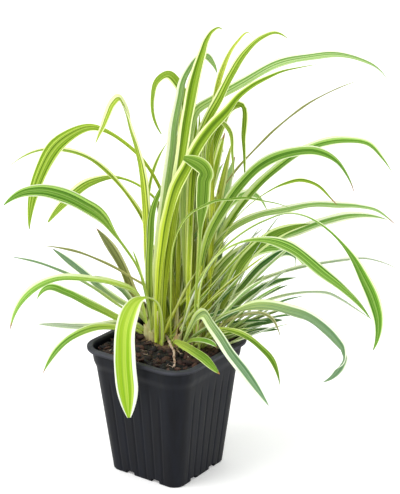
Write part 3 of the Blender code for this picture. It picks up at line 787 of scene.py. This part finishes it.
def bladeSurface(root, heading, width, roll, path, sweep, facts, tints, plan, columns=None):
    # The midrib runs in the upright plane that points to heading and drifts sideways by sweep * s
    # squared. At share s along and a across, -1 to 1, the blade is at
    # midrib + half width * (a cos fold * side + v(a) sin fold * face) + ripple +- half the thickness,
    # where v is |a| with a rounded bottom and the thickness falls as a squared towards the edges.
    columns = columns or plan["columns"]
    reach = chordReach(path)
    along = reach / reach[-1]
    midrib = np.column_stack([path[:, 0], sweep * along ** 2, path[:, 1]])
    tangent = unit(np.gradient(midrib, axis=0))
    side = unit(np.array([0.0, 1.0, 0.0]) - tangent[:, 1:2] * tangent)
    face = np.cross(tangent, side)
    turn = np.radians(np.interp(along, np.linspace(0, 1, len(roll)), roll))[:, None]
    side, face = turned(side, face, -turn)

    upper = -np.cos(np.linspace(0, math.pi, columns))
    a = np.concatenate([upper, upper[-2:0:-1]])[None, :]
    under = np.concatenate([[0.5], np.zeros(columns - 2), [0.5], np.ones(columns - 2)])[None, :]
    s = along[:, None]
    half = width / 2 * bladeWidth(s, plan)
    fold = np.radians(plan["rootFold"] + (plan["tipFold"] - plan["rootFold"]) * s)
    soft = plan["foldSoftness"]
    cup = (np.sqrt(a * a + soft * soft) - soft) / (math.sqrt(1 + soft * soft) - soft)
    phase = 2 * math.pi * reach[:, None] / plan["rippleLength"] + 9 * facts[0]
    ripple = plan["ripple"] * a * a * np.sin(phase + 1.1 * a) * np.clip(s * 4, 0, 1) * bladeWidth(s, plan)
    thin = bladeWidth(s, plan) ** 0.5
    thickness = plan["edgeThickness"] + (plan["midThickness"] - plan["edgeThickness"]) * (1 - a * a)
    thickness = thickness * thin
    keel = plan["keel"] * np.exp(-(a / plan["keelShare"]) ** 2) * thin
    offset = np.where(under > 0.6, -thickness / 2 - keel, np.where(under < 0.4, thickness / 2, 0))
    sideways = half * np.cos(fold) * a
    lift = half * np.sin(fold) * cup + ripple + offset
    local = midrib[:, None] + sideways[..., None] * side[:, None] + lift[..., None] * face[:, None]
    points, quads, tris, _ = closedTube(local)
    out, beside, up = points.T
    x, y = turned(out, beside, math.radians(heading))
    world = np.column_stack([x + root[0], y + root[1], up + compostHigh[2]])
    size = (len(along), a.shape[1])
    uv = np.stack(np.broadcast_arrays(a / 2 + 0.5, s), axis=-1).reshape(-1, 2)
    uv = np.vstack([uv, [[0.5, 0], [0.5, 1]]])
    below = np.append(np.broadcast_to(under, size).ravel(), [0.5, 0.5])
    spots = len(world)
    layers = {"bladeMap": uv, "bladeFacts": np.tile(facts, (spots, 1)),
              "bladeTints": np.column_stack([np.tile(tints, (spots, 1)), below])}
    return world, quads[:, ::-1], tris[:, ::-1], layers


def stripedBladeGroup():
    # colours and veins of a striped leaf, from the share across (-1 to 1) and the share along
    inputs = {"Across": ("Float", 0.0), "Along": ("Float", 0.0), "Seed": ("Float", 0.0),
              "Edge": ("Float", 0.25), "Stripes": ("Float", 0.5), "Tip": ("Float", 0.0)}
    for key in ("Centre", "Dusk", "Light", "Margin", "Base"):
        inputs[key] = ("Color", (0.5, 0.5, 0.5, 1))
    outputs = {"Color": "Color", "Veins": "Float", "Rough": "Float"}
    group, given, result = newGroup("stripedBlade", inputs, outputs)
    across, along, seed = given["Across"], given["Along"], given["Seed"]

    def lengthwise(acrossScale, alongScale, shift, detail):
        u = maths(group, "MULTIPLY_ADD", across, acrossScale, times(group, seed, shift))
        v = times(group, along, alongScale)
        spot = put(group, "CombineXYZ", {0: u, 1: v, 2: seed}).outputs[0]
        return noise(group, spot, 1.0, detail, 0.6)

    edgeRoom = maths(group, "SUBTRACT", 1.0, maths(group, "ABSOLUTE", across))
    wander = maths(group, "SUBTRACT", lengthwise(0.7, 3, 31, 2), 0.5)
    skew = times(group, maths(group, "SUBTRACT", seed, 0.5), across)
    uneven = maths(group, "MULTIPLY_ADD", skew, 1.3, maths(group, "MULTIPLY_ADD", wander, 1.1, 1.0))
    border = times(group, given["Edge"], uneven)
    inner = maths(group, "SUBTRACT", edgeRoom, border)
    margin = ramp(group, inner, 0.04, -0.04)
    foot = ramp(group, maths(group, "MULTIPLY_ADD", wander, 0.15, along), 0.74, 0.12)
    wide = maths(group, "MULTIPLY_ADD", foot, 0.16, lengthwise(4.4, 0.4, 17, 1))
    fine = lengthwise(13, 0.8, 7, 1)
    pale = times(group, ramp(group, fine, 0.5, 0.6), 0.6)
    pale = maths(group, "MAXIMUM", ramp(group, wide, 0.505, 0.57), pale)
    pale = times(group, given["Stripes"], pale)
    pale = times(group, pale, ramp(group, inner, 0.7, 0.15, 0.6, 1.0))
    dusk = ramp(group, lengthwise(5.2, 0.4, 23, 1), 0.5, 0.58, 0, 0.75)
    line = ramp(group, lengthwise(17, 0.5, 41, 1), 0.44, 0.37, 0, 0.85)
    veins = lengthwise(52, 2, 5, 2)
    colour = blend(group, dusk, given["Centre"], given["Dusk"])
    light = blend(group, foot, given["Light"], given["Base"])
    colour = blend(group, pale, colour, light)
    colour = blend(group, times(group, foot, 0.55), colour, given["Base"])
    colour = blend(group, line, colour, given["Dusk"])
    rib = ramp(group, maths(group, "ABSOLUTE", across), 0.09, 0.03, 0, 0.35)
    colour = blend(group, rib, colour, given["Light"])
    marginColour = blend(group, times(group, foot, 0.8), given["Margin"], given["Base"])
    colour = blend(group, margin, colour, marginColour)
    shade = ramp(group, veins, 0.3, 0.7, 0.8, 1.1)
    shadeColour = put(group, "CombineColor", {0: shade, 1: shade, 2: shade}).outputs[0]
    colour = blend(group, 1.0, colour, shadeColour, "MULTIPLY")
    tipStart = ramp(group, maths(group, "MULTIPLY_ADD", wander, 0.04, along), 0.955, 0.985)
    burn = times(group, tipStart, given["Tip"])
    colour = blend(group, burn, colour, paint(150, 104, 58))
    group.links.new(colour, result.inputs["Color"])
    group.links.new(maths(group, "MULTIPLY_ADD", pale, 0.3, veins), result.inputs["Veins"])
    group.links.new(ramp(group, veins, 0.25, 0.75, 0.36, 0.52), result.inputs["Rough"])
    return group


bladeLooks = dict(
    # centre, dusk, light, margin, base and underside, as screen values
    lime=((154, 192, 34), (126, 174, 20), (196, 220, 90), (244, 249, 230), (206, 224, 100), (150, 194, 70)),
    bright=((142, 174, 34), (78, 110, 2), (216, 232, 100), (234, 242, 180), (214, 228, 72), (140, 172, 36)),
    olive=((118, 154, 20), (70, 104, 0), (190, 214, 92), (232, 241, 178), (208, 222, 66), (120, 152, 30)),
    mid=((98, 150, 40), (64, 112, 18), (172, 212, 104), (230, 242, 196), (196, 216, 98), (108, 156, 56)),
    dark=((92, 134, 24), (60, 96, 4), (146, 178, 72), (216, 230, 160), (190, 208, 90), (106, 142, 44)),
    deep=((66, 112, 50), (44, 88, 36), (120, 162, 90), (214, 228, 188), (176, 198, 96), (88, 132, 66)),
    mint=((144, 188, 98), (94, 142, 46), (218, 236, 174), (242, 247, 216), (210, 228, 118), (142, 182, 108)),
    bluish=((102, 138, 98), (76, 112, 70), (158, 186, 140), (226, 236, 210), (198, 216, 118),
            (118, 152, 106)),
    pale=((156, 180, 140), (76, 108, 54), (230, 238, 214), (246, 248, 236), (208, 222, 144),
          (164, 188, 150)),
    cream=((188, 208, 66), (90, 116, 4), (230, 238, 118), (236, 245, 160), (222, 232, 70), (184, 200, 56)),
    straw=((132, 140, 80), (90, 96, 56), (176, 180, 120), (190, 190, 140), (196, 190, 108), (128, 136, 84)),
)


def bladeMaterial(name, look, group):
    material, tree, shader = newMaterial(name)
    spot = put(tree, "UVMap", uv_map="bladeMap").outputs["UV"]
    across, along, _ = split(tree, spot)
    seed, edge, tip = split(tree, layerValue(tree, "bladeFacts"))
    bright, stripes, under = split(tree, layerValue(tree, "bladeTints"))
    centred = maths(tree, "MULTIPLY_ADD", across, 2.0, -1.0)
    centre, dusk, light, margin, base, underside = (paint(*colour) for colour in look)
    middle = blend(tree, times(tree, under, 0.7), centre, underside)
    striped = put(tree, "Group", {
        "Across": centred, "Along": along, "Seed": seed, "Edge": edge, "Stripes": stripes, "Tip": tip,
        "Centre": middle, "Dusk": dusk, "Light": light, "Margin": margin, "Base": base,
    }, node_tree=group).outputs
    brightColour = put(tree, "CombineColor", {0: bright, 1: bright, 2: bright}).outputs[0]
    colour = blend(tree, 1.0, striped["Color"], brightColour, "MULTIPLY")
    feed(tree, shader, {
        "Emission Color": colour, "Emission Strength": 0.04,   # painted glow: the blade's own colour, self-lit to stand in for daylight through it and to lift its shade
        "Specular IOR Level": 0.12, "Subsurface Weight": 0.12, "Subsurface Radius": (1.0, 1.1, 0.35),
        "Subsurface Scale": 0.0004,
    })
    dress(tree, shader, colour, striped["Rough"], striped["Veins"], 0.35, 0.0002)
    return material


# Leaves, as in the CAD: root in mm, heading in degrees, width, roll in degrees along the blade, sweep of
# the tip to the left, share of the length before a slender blade is full width (0 if it isn't slender),
# look, share of pale margin, how brown the tip is, and the midrib's points, each as mm out from the root
# and mm up from the compost.
leafTable = (
    # tall leaves that stand up from the middle and bend over near their tips
    ((-22, 11), 232, 11, (30, 30, -50), 15, 0, "bright", 0.45, 0, (4, 50, 13, 149, 17, 163, 20, 175, 23,
     182, 25, 185, 29, 182, 33, 175, 37, 167, 40, 162, 43, 156)),
    ((-8, 28), 190, 8, (-10, -10, -70), 0, 0, "olive", 0.26, 0, (-2, 80, -1, 150, 1, 189, 9, 196, 17, 191,
     21, 179, 20, 163, 15, 153)),
    ((-10, 2), 67, 14, (-70, -70, -50), -10, 0, "mint", 0.31, 0, (2, 48, 13, 148, 15, 170, 18, 185, 20, 196,
     24, 204, 30, 211, 36, 212, 40, 208, 44, 200)),
    ((-6, 5), 20, 13, (60, 60, 60), 5, 0, "olive", 0.39, 0, (1, 35, 8, 91, 16, 154, 20, 180, 24, 201, 28,
     217, 31, 227, 35, 233, 39, 235, 41, 234)),
    ((18, 26), 60, 6, (30, 30, 20), 0, 0, "cream", 0.26, 0, (4, 100, 4, 170, 11, 203, 22, 222, 30, 228, 35,
     223)),
    ((7, 21), 15, 10, (50, 70, 40), -10, 0, "olive", 0.29, 0, (0, 80, 10, 159, 15, 171, 24, 187, 32, 203,
     42, 219, 54, 231, 64, 235, 72, 232)),
    ((3, 26), 47, 9, (50, 40, 30), 5, 0, "mint", 0.23, 0, (-4, 75, -4, 123, 1, 159, 5, 172, 16, 179, 39,
     191, 63, 203, 87, 207, 106, 208, 124, 204, 138, 197, 147, 187)),
    ((-8, 0), 28, 14, (40, 50, 10), -20, 0, "olive", 0.26, 0, (6, 76, 10, 99, 16, 122, 24, 138, 31, 152, 41,
     167, 52, 180, 60, 191, 69, 199, 79, 205, 89, 210, 99, 213, 111, 216)),
    ((21, 4), 0, 11, (-50, -60, -65), -5, 0.75, "dark", 0.16, 0, (4, 67, 6, 84, 7, 100, 9, 115, 10, 124, 11,
     133, 13, 138, 11, 142, 8, 144, 2, 146, -5, 147)),
    ((11, 22), 353, 6, (-10, 0, 0), 5, 0, "olive", 0.26, 0, (3, 73, 8, 126, 13, 160, 20, 169, 26, 165, 29,
     148, 30, 131)),
    ((11, 24), 7, 7, (-50, -60, -70), 15, 0, "olive", 0.26, 0, (2, 48, 4, 108, 13, 160, 22, 178, 27, 180,
     29, 154, 29, 124)),
    ((-23, 16), 60, 5, (20, 20, 10), 10, 0, "olive", 0.29, 0, (-4, 40, -3, 100, 4, 128, 16, 146)),
    ((-20, 8), 60, 8, (30, 30, 10), -10, 0, "dark", 0.13, 0, (-1, 40, -1, 77, 1, 107, 8, 125)),
    # leaves that arch to the left
    ((-15, 18), 206, 15, (-40, -50, -70), 0, 0.78, "olive", 0.1, 0, (0, 60, 4, 116, 24, 144, 53, 158, 75,
     146, 93, 117, 102, 79)),
    ((-21, 20), 196, 6, (-10, -10, -30), 0, 0, "olive", 0.44, 0, (4, 50, 16, 92, 33, 114, 53, 130, 89, 135,
     121, 119)),
    ((-13, 26), 186, 12, (-30, -30, -70), 0, 0.8, "olive", 0.26, 0, (3, 60, 12, 100, 30, 112, 49, 115, 68,
     109, 95, 89, 112, 71)),
    ((-15, -1), 244, 13, (-60, -70, -40), 0, 0.64, "mid", 0.18, 0, (5, 48, 11, 64, 20, 79, 29, 92, 38, 104,
     51, 114, 66, 123, 83, 129, 97, 129, 109, 123)),
    ((-22, 4), 238, 9, (-10, -20, -20), 0, 0, "mid", 0.31, 1, (2, 20, 8, 37, 22, 46, 43, 53, 70, 57, 88, 50,
     103, 25)),
    ((-20, 24), 190, 3, (-20, -20, -20), 0, 0, "straw", 0.26, 1, (2, 18, 12, 32, 29, 40, 50, 48, 80, 54,
     107, 54)),
    ((-26, 26), 175, 8, (-20, -10, -10), 0, 0, "bluish", 0.29, 0, (4, 7, 18, 9, 36, 11, 56, 16, 79, 26, 114,
     40)),
    ((-26, 18), 200, 4, (-20, -20, -10), 0, 0, "bluish", 0.29, 0, (3, 8, 12, 13, 25, 18, 46, 31, 80, 45,
     115, 51)),
    ((-30, 20), 170, 10, (-10, 0, 0), 0, 0, "straw", 0.26, 1, (8, 10, 20, 22, 32, 41, 48, 58, 61, 68)),
    ((-28, 8), 225, 10, (-30, -30, -20), 0, 0, "mid", 0.26, 0, (5, 8, 16, 13, 36, 25, 57, 38, 70, 43, 78,
     35)),
    ((-30, 12), 212, 8, (-30, -30, -20), 0, 0, "pale", 0.39, 0, (6, 8, 20, 8, 41, 5, 68, 6, 81, 7)),
    ((-26, 4), 240, 9, (-30, -20, 0), 0, 0, "mid", 0.31, 1, (6, 8, 18, 11, 40, 14, 57, 9, 71, -3, 78, -13)),
    ((-26, 14), 195, 7, (-20, -20, -10), 5, 0, "bluish", 0.33, 0, (3, 8, 8, 14, 24, 35, 43, 44)),
    # the broad leaf that hangs down in front of the pot
    ((-3, -4), 277, 17, (0, -10, -40), 0, 0.52, "lime", 0.3, 0, (-1, 16, 5, 37, 18, 46, 32, 47, 45, 36, 49,
     14, 47, -17, 46, -35)),
    # leaves that arch high to the right
    ((2, 32), 55, 3, (10, 10, 10), 0, 0, "straw", 0.26, 0, (2, 50, 6, 88, 21, 112, 49, 142, 89, 171, 128,
     185)),
    ((14, 22), 38, 11, (30, 40, 20), -25, 0, "mid", 0.26, 1, (1, 50, 8, 85, 17, 104, 30, 124, 43, 138, 62,
     147, 79, 149, 93, 143, 101, 133, 106, 122)),
    ((4, 37), 25, 10, (50, 40, 20), 10, 0, "mid", 0.44, 0, (6, 46, 29, 100, 53, 128, 74, 144, 89, 150, 102,
     152, 119, 150, 128, 141, 136, 130)),
    ((21, 22), 0, 6, (50, 50, 10), 10, 0.85, "olive", 0.33, 1, (2, 52, 23, 103, 42, 121, 60, 132, 73, 136,
     85, 134, 94, 127, 99, 123)),
    ((4, 0), 350, 3, (60, 50, 0), -5, 0, "dark", 0.2, 0, (0, 40, 8, 92, 23, 110, 36, 118, 48, 124, 61, 128,
     76, 132, 93, 134, 106, 135, 117, 135)),
    ((4, 29), 25, 9, (30, 30, 10), 5, 0, "mint", 0.29, 1, (1, 30, 12, 65, 31, 88, 48, 97, 67, 102, 88, 107,
     104, 107, 118, 107, 130, 105, 138, 100, 144, 95)),
    ((5, 15), 359, 14, (-10, -10, 40), 0, 0.88, "mid", 0.26, 0, (2, 29, 18, 60, 44, 90, 69, 108, 89, 117,
     102, 117, 115, 113, 127, 106, 138, 96, 147, 83, 155, 70, 160, 55, 160, 45, 157, 34)),
    # leaves that arch low to the right
    ((9, 32), 45, 10, (30, 30, 30), 0, 0, "mint", 0.52, 0, (-1, 25, 8, 44, 24, 63, 44, 72, 65, 77, 90, 85,
     110, 89, 129, 88, 139, 85)),
    ((22, 27), 30, 11, (60, 60, 30), 0, 0, "dark", 0.44, 0, (2, 20, 9, 36, 25, 68, 42, 84, 69, 95)),
    ((26, 5), 11, 14, (10, 20, 0), -20, 0.66, "mid", 0.36, 0, (-1, 32, 5, 65, 21, 84, 38, 93, 55, 95, 70,
     92, 97, 78, 110, 72, 122, 65, 133, 56)),
    ((26, 23), 20, 3, (50, 50, 40), 0, 0, "pale", 0.44, 0, (5, 16, 20, 30, 38, 40, 57, 47, 72, 50, 83, 50,
     93, 46, 102, 41, 114, 34)),
    ((15, 30), 40, 6, (10, 10, 10), 0, 0, "pale", 0.52, 0, (1, 18, 10, 28, 24, 36, 38, 45, 53, 51, 68, 55,
     85, 58, 100, 60, 115, 61, 128, 58, 141, 52)),
    ((17, 33), 70, 7, (20, 30, 50), 0, 0, "deep", 0.39, 0, (5, 18, 26, 35, 48, 51, 68, 55, 77, 48, 76, 41)),
    ((25, 28), 60, 6, (30, 30, 20), -20, 0, "deep", 0.39, 0, (8, 21, 32, 43, 54, 51)),
    ((30, 14), 355, 12, (-60, -60, -60, -65, -70, -72, -75, -80, -70, 30, 50), 0, 0.4, "bluish", 0.26, 0,
     (3, 24, 26, 39, 50, 47, 70, 48, 82, 48, 95, 44, 106, 38, 113, 32, 115, 27, 112, 20, 107, 12, 99, 5)),
    ((30, 19), 15, 4, (10, 10, 0), 0, 0, "straw", 0.39, 1, (5, 19, 22, 30, 35, 33, 42, 30, 46, 24, 49, 17)),
    ((25, 10), 345, 7, (10, 10, -20), 0, 0, "dark", 0.21, 0, (10, 18, 28, 25, 44, 26, 60, 23, 73, 17, 78,
     11, 82, 2)),
    ((13, 2), 342, 10, (70, 70, 70), 0, 0, "bluish", 0.34, 0, (13, 25, 20, 34, 27, 38, 35, 33, 45, 27, 56,
     19, 72, 11, 85, 3, 98, -6)),
    ((8, -4), 335, 7, (50, 60, 60), 0, 0, "dark", 0.08, 1, (3, 9, 17, 12, 34, 13, 48, 13, 59, 11, 67, 9)),
    ((16, -2), 20, 6, (20, 20, 0), -15, 0, "mid", 0.33, 1, (5, 10, 18, 15, 29, 15)),
    # leaves that arch away behind
    ((-8, 34), 110, 9, (-10, -20, -10), 0, 0, "olive", 0.39, 0, (4, 50, 20, 95, 50, 125, 85, 130, 110,
     112)),
    ((-2, 35), 92, 8, (40, 60, 70), 0, 0, "mid", 0.39, 0, (3, 35, 20, 70, 50, 90, 85, 88, 108, 66)),
    ((-14, 34), 135, 8, (0, 0, -10), 0, 0, "olive", 0.39, 0, (4, 30, 16, 55, 40, 72, 72, 72, 98, 50)),
    ((-20, 32), 138, 9, (10, 10, 30), 0, 0, "mid", 0.39, 0, (4, 18, 18, 34, 42, 42, 76, 36, 98, 18)),
    ((7, 36), 75, 8, (30, 40, 60), 0, 0, "mid", 0.39, 0, (5, 22, 22, 42, 50, 54, 82, 50, 104, 30)),
)


leafPlan = dict(seed=380, bright=(0.96, 1.04), stripes=(0.6, 1.0))   # ranges of brightness and stripes


def makeLeaves(materials, plan):
    random = np.random.default_rng(plan["seed"])
    for number, leaf in enumerate(leafTable, start=1):
        root, heading, width, roll, sweep, slender, look, edge, tip, path = leaf
        blade = dict(bladePlan)
        if slender:
            blade.update(rootShare=blade["slenderRootShare"], widening=blade["slenderWidening"],
                         widestFrom=slender)
        for numbers, change in tipPlans:
            if number in numbers:
                blade.update(change)
        x, y = root[0] * mm, root[1] * mm
        start = (0, crownLow[2] + float(crownRise(x, y)) + blade["rootLift"] - compostHigh[2])
        route = smoothPath([start, *np.reshape(path, (-1, 2)) * mm], blade["steps"])
        facts = (random.random(), edge, tip)
        tints = (random.uniform(*plan["bright"]), random.uniform(*plan["stripes"]))
        shape = bladeSurface((x, y), heading, width * mm, roll, route, sweep * mm, facts, tints, blade)
        addPiece(f"blade{number:02d}", shape, materials[look], [f"leaf_{number:02d}"])
    print("leaves:", len(leafTable))


# Further leaves that fill the clump
fillPlan = dict(
    bright=(0.62, 1.2), stripes=(0.7, 1.0), edge=(0.22, 0.5), brownTips=0.25,
    scatter=55, rolls=(25, 15, 30), sweep=6,     # spreads about the mean, in degrees and mm
    bendPower=(1.2, 2.4), sunk=0.5 * mm,
)
fillFamilies = dict(
    # count, how far out on the crown and on which side (degrees from the way that it leans), heading,
    # lean and bend in degrees, length and width in mm, looks, seed
    middleBlades=(24, 0.6, 0, (70, 150), (0, 7), (4, 18), (105, 185), (5, 8), "cream bright cream olive", 3),
    crossBlades=(13, 0.75, 190, (18, 50), (20, 40), (0, 14), (55, 110), (3, 5),
                 "bright cream olive mint", 12),
    rightBlades=(8, 0.85, 0, (10, 60), (12, 30), (12, 34), (70, 110), (3, 5), "pale mint pale mid", 4),
    fanBlades=(10, 0.8, 0, (15, 52), (30, 54), (4, 24), (45, 85), (3, 5), "pale mint cream deep", 9),
    leftBlades=(3, 0.7, 0, (200, 235), (5, 14), (8, 25), (55, 90), (5, 8), "olive mid dark", 5),
    skirtBlades=(14, 0.9, 0, (-20, 70), (50, 66), (5, 25), (45, 80), (4, 6), "deep dark pale deep", 6),
    backBlades=(16, 0.85, 0, (95, 145), (8, 40), (30, 66), (95, 160), (6, 9), "olive mid bluish mint", 7),
    youngBlades=(9, 0.8, 0, (40, 200), (0, 14), (0, 20), (35, 70), (4, 6), "cream olive bright", 8),
)


def arcPath(length, lean, bend, power, count=30):
    # steps of equal length, whose angle from upright is lean + bend * share to a power
    share = np.linspace(0, 1, count)
    angle = np.radians(lean + bend * share ** power)
    middle = (angle[1:] + angle[:-1]) / 2
    step = length / (count - 1)
    out = np.concatenate([[0], np.cumsum(np.sin(middle) * step)])
    up = np.concatenate([[0], np.cumsum(np.cos(middle) * step)])
    return np.column_stack([out, up])


def makeFill(materials, plan):
    for family, row in fillFamilies.items():
        count, reach, side, headings, leans, bends, lengths, widths, looks, seed = row
        random = np.random.default_rng(seed)
        looks = looks.split()
        parts = {}
        for _ in range(count):
            heading = random.uniform(*headings)
            share = reach * random.random() ** 0.5
            toward = math.radians(heading + side + random.normal(0, plan["scatter"]))
            x = crownCentre[0] + crownHalf[0] * share * math.cos(toward)
            y = crownCentre[1] + crownHalf[1] * share * math.sin(toward)
            lean, bend = random.uniform(*leans), random.uniform(*bends)
            route = arcPath(random.uniform(*lengths) * mm, lean, bend, random.uniform(*plan["bendPower"]))
            route[:, 1] += crownLow[2] + float(crownRise(x, y)) - plan["sunk"] - compostHigh[2]
            turn, middle, tip = (random.normal(0, spread) for spread in plan["rolls"])
            roll = (turn, turn + middle, turn + tip)
            facts = (random.random(), random.uniform(*plan["edge"]), random.random() < plan["brownTips"])
            tints = (random.uniform(*plan["bright"]), random.uniform(*plan["stripes"]))
            look = looks[random.integers(len(looks))]
            shape = bladeSurface((x, y), heading, random.uniform(*widths) * mm, roll, route,
                                 random.normal(0, plan["sweep"]) * mm, facts, tints, bladePlan,
                                 bladePlan["fillColumns"])
            parts.setdefault(look, []).append(shape)
        for look, shapes in parts.items():
            addPiece(family + look.capitalize(), joined(shapes), materials[look])
    print("fill:", sum(row[0] for row in fillFamilies.values()), "blades")


stripes = stripedBladeGroup()
leafMaterials = {look: bladeMaterial(look + "Leaf", colours, stripes)
                 for look, colours in bladeLooks.items()}
makeLeaves(leafMaterials, leafPlan)
makeFill(leafMaterials, fillPlan)


# Studio: a pale floor under an even sky and one soft sun
studioPlan = dict(
    floorSize=12.0, sky=1.06,
    sunFrom=(-0.5, -0.9, 1.25), sunWidth=34, sunStrength=1.28,   # degrees across, W per square metre
)


def makeStudio(plan):
    half = plan["floorSize"] / 2
    corners = [(x * half, y * half, potLow[2]) for x, y in ((-1, -1), (1, -1), (1, 1), (-1, 1))]
    floor = addObject("floor", newMesh("floor", corners, [(0, 1, 2, 3)]))
    material, tree, shader = newMaterial("paleFloor")
    feed(tree, shader, {"Base Color": (0.96, 0.96, 0.96, 1), "Roughness": 0.9, "Specular IOR Level": 0.1,
                        "Emission Color": (1, 1, 1, 1), "Emission Strength": 0.18})
    floor.data.materials.append(material)
    world = bpy.data.worlds.new("softSky")
    world.use_nodes = True
    sky = world.node_tree
    feed(sky, sky.nodes["Background"], {"Color": (1, 1, 1, 1), "Strength": plan["sky"]})
    bpy.context.scene.world = world
    data = bpy.data.lights.new("softSun", "SUN")
    data.angle, data.energy = math.radians(plan["sunWidth"]), plan["sunStrength"]
    sun = addObject("softSun", data)
    sun.location = plan["sunFrom"]
    sun.rotation_euler = Vector(plan["sunFrom"]).to_track_quat("Z", "Y").to_euler()
    bpy.context.scene.view_settings.view_transform = "Standard"
    print("studio: sky", plan["sky"], "and sun", plan["sunStrength"])


makeStudio(studioPlan)
